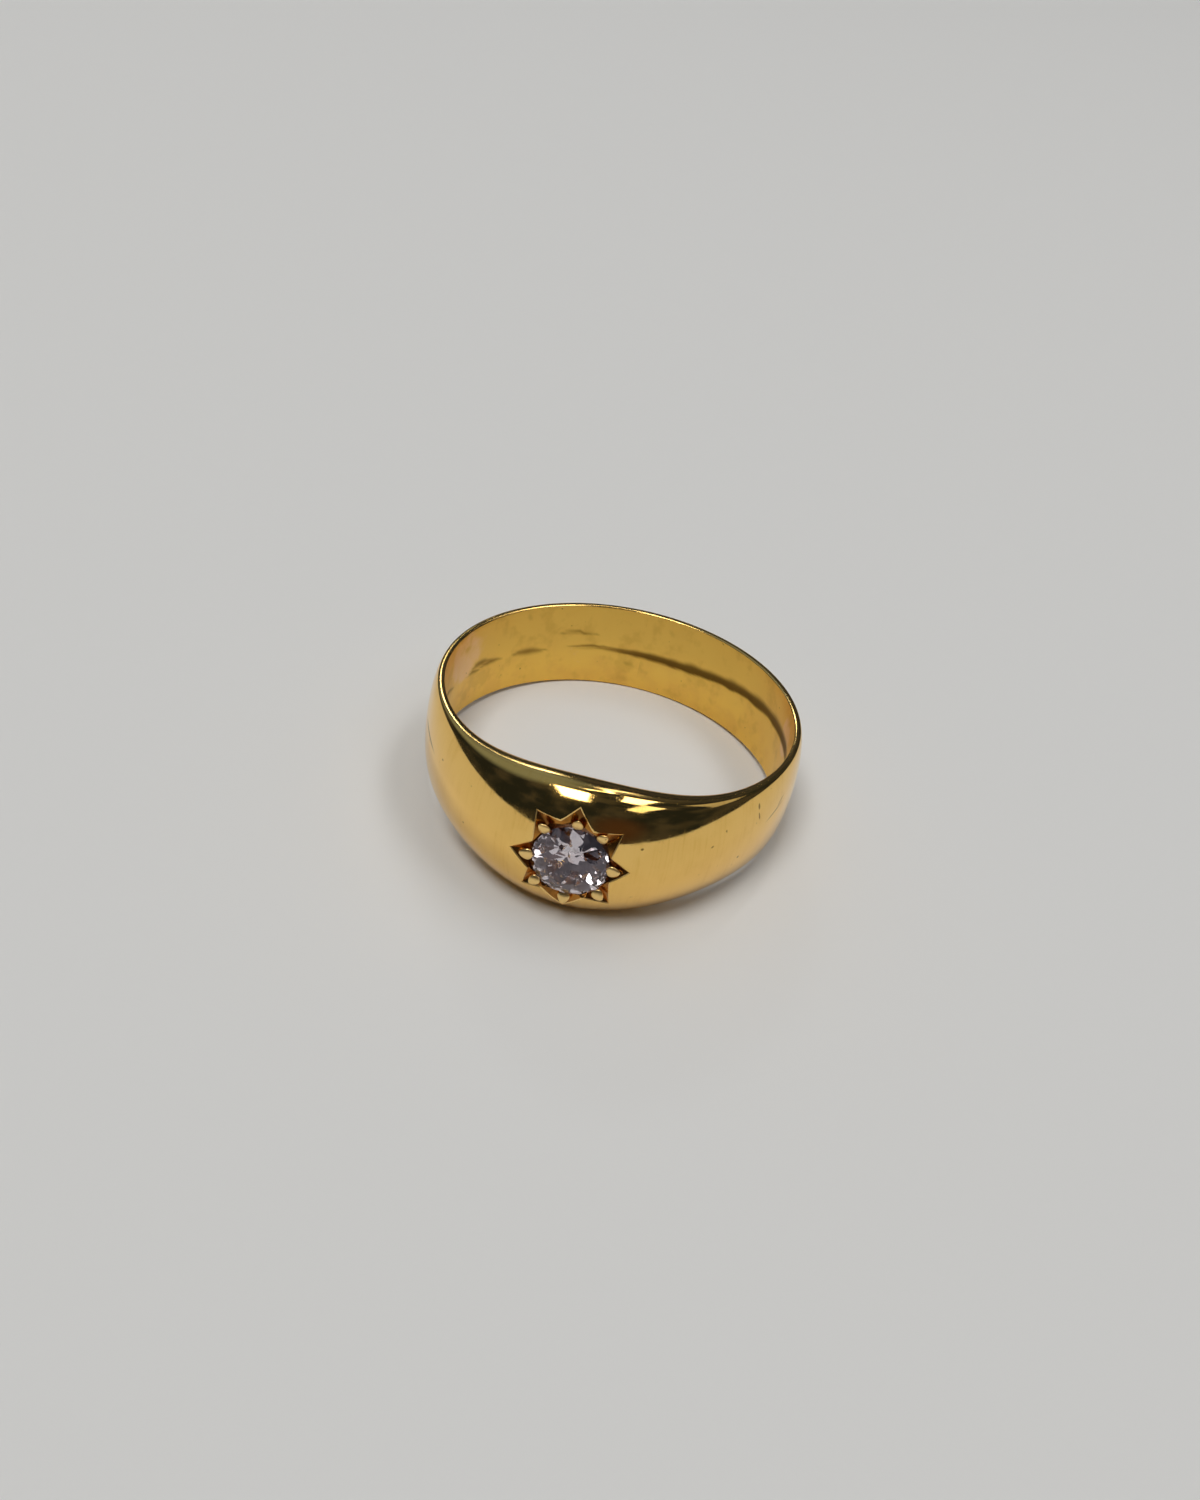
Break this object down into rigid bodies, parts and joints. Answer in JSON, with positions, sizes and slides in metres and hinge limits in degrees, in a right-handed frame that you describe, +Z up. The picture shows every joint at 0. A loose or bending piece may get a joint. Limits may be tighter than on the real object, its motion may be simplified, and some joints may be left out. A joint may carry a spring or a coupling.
{
  "type": "gemstone finger ring",
  "caption": "Domed gold finger ring that narrows to a thin shank, with an old-cut stone sunk flush in an engraved star and held by small grains of metal.",
  "frame": {"origin": "middle of the bounding box in plan, on the plane the ring lies on", "axes": "+Z up from the plane the ring lies on, 3 degrees off the axis of the finger hole; -Y towards the stone; +X to the right as seen facing the stone"},
  "size_m": [0.0194, 0.0213, 0.007],
  "materials": {
    "gold": "polished",
    "stone": "polished"
  },
  "bodies": {
    "root": {"band": "gold", "stone": "stone"}
  },
  "joints": []
}
